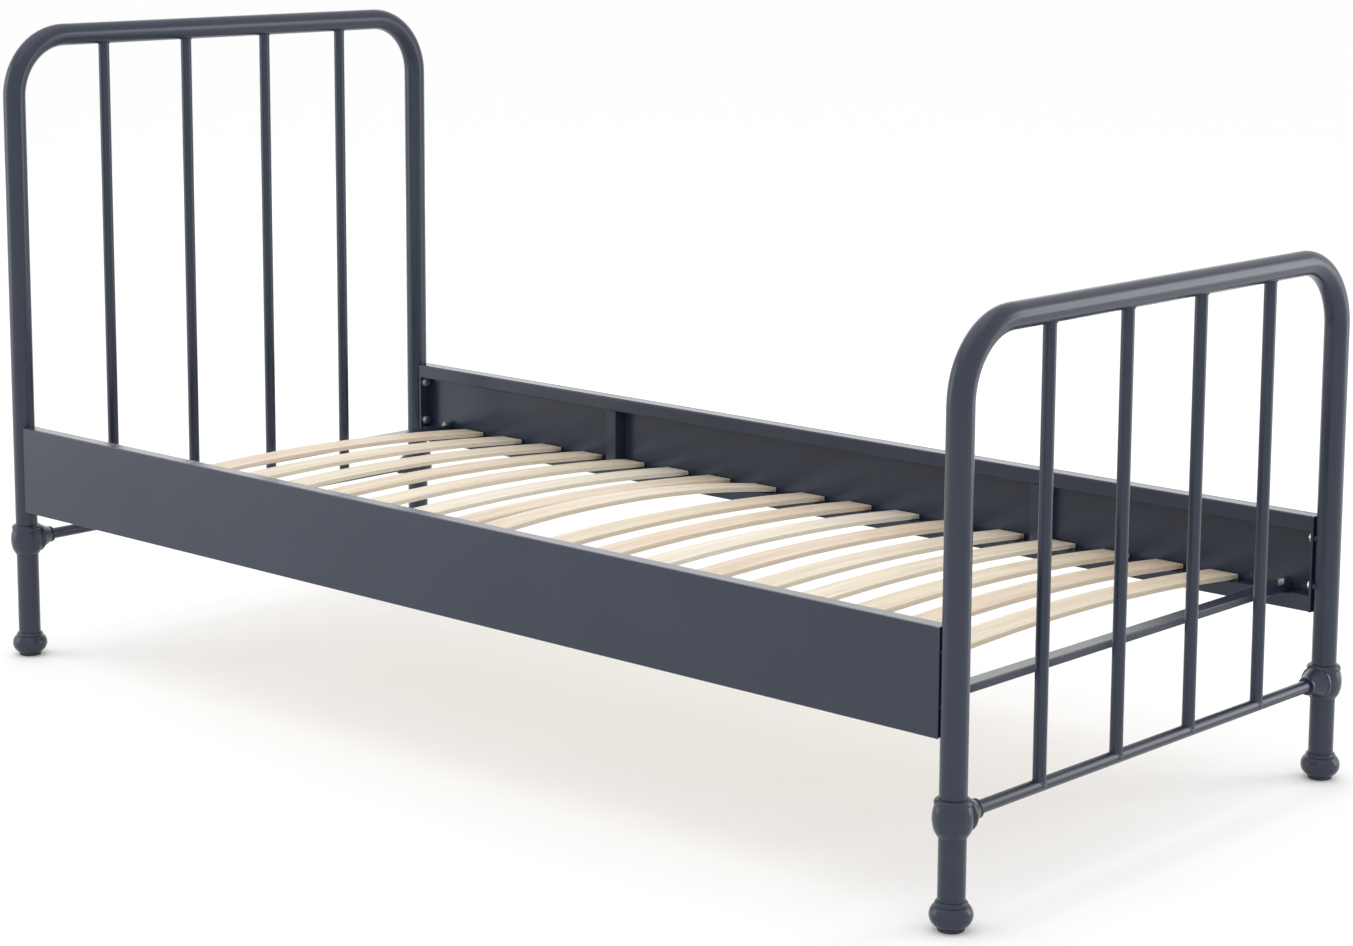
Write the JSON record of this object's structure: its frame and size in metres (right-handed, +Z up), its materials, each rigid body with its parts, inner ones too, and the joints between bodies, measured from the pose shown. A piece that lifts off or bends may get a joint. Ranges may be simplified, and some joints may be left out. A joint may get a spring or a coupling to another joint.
{
  "type": "bed frame",
  "caption": "Single metal bed frame with arched tube headboard and footboard, upright spindles, flat side rails, ball feet and loose sprung wooden slats.",
  "frame": {"origin": "on the floor under the middle of the bed", "axes": "+X from the headboard to the footboard, -Y is the near side, +Z up"},
  "size_m": [2.1056, 0.9896, 1.1069],
  "materials": {
    "frame_paint": "dark slate blue-grey satin powder coat on steel tube",
    "casting_paint": "the same powder coat on cast collars and ball feet",
    "rail_paint": "the same powder coat on the side rails and cross bars",
    "zinc_steel": "bright zinc-plated bolts, nuts, washers and bushes",
    "glide_plastic": "black moulded plastic",
    "slat_wood": "plain pale laminated birch or poplar, clear sealed"
  },
  "bodies": {
    "root": {"headboard_tube": "frame_paint", "headboard_lower_bar": "frame_paint", "headboard_spindle_1": "frame_paint", "headboard_spindle_2": "frame_paint", "headboard_spindle_3": "frame_paint", "headboard_spindle_4": "frame_paint", "head_near_collar": "casting_paint", "head_near_ball_foot": "casting_paint", "head_far_collar": "casting_paint", "head_far_ball_foot": "casting_paint", "footboard_tube": "frame_paint", "footboard_lower_bar": "frame_paint", "footboard_spindle_1": "frame_paint", "footboard_spindle_2": "frame_paint", "footboard_spindle_3": "frame_paint", "footboard_spindle_4": "frame_paint", "foot_near_collar": "casting_paint", "foot_near_ball_foot": "casting_paint", "foot_far_collar": "casting_paint", "foot_far_ball_foot": "casting_paint", "foot_glides": "glide_plastic", "near_rail_sheet": "rail_paint", "near_rail_top_tube": "rail_paint", "near_rail_bottom_tube": "rail_paint", "near_rail_head_stiffener": "rail_paint", "near_rail_foot_stiffener": "rail_paint", "near_rail_head_plate": "rail_paint", "near_rail_foot_plate": "rail_paint", "far_rail_sheet": "rail_paint", "far_rail_top_tube": "rail_paint", "far_rail_bottom_tube": "rail_paint", "far_rail_head_stiffener": "rail_paint", "far_rail_foot_stiffener": "rail_paint", "far_rail_head_plate": "rail_paint", "far_rail_foot_plate": "rail_paint", "head_cross_bar": "rail_paint", "foot_cross_bar": "rail_paint", "post_bushes": "zinc_steel", "rail_washers": "zinc_steel", "rail_bolts": "zinc_steel", "cross_bar_bolts": "zinc_steel", "cross_bar_washers": "zinc_steel", "cross_bar_nuts": "zinc_steel", "slat_01": "slat_wood", "slat_02": "slat_wood", "slat_03": "slat_wood", "slat_04": "slat_wood", "slat_05": "slat_wood", "slat_06": "slat_wood", "slat_07": "slat_wood", "slat_08": "slat_wood", "slat_09": "slat_wood", "slat_10": "slat_wood", "slat_11": "slat_wood", "slat_12": "slat_wood", "slat_13": "slat_wood", "slat_14": "slat_wood", "slat_15": "slat_wood", "slat_16": "slat_wood", "slat_17": "slat_wood"}
  },
  "joints": []
}
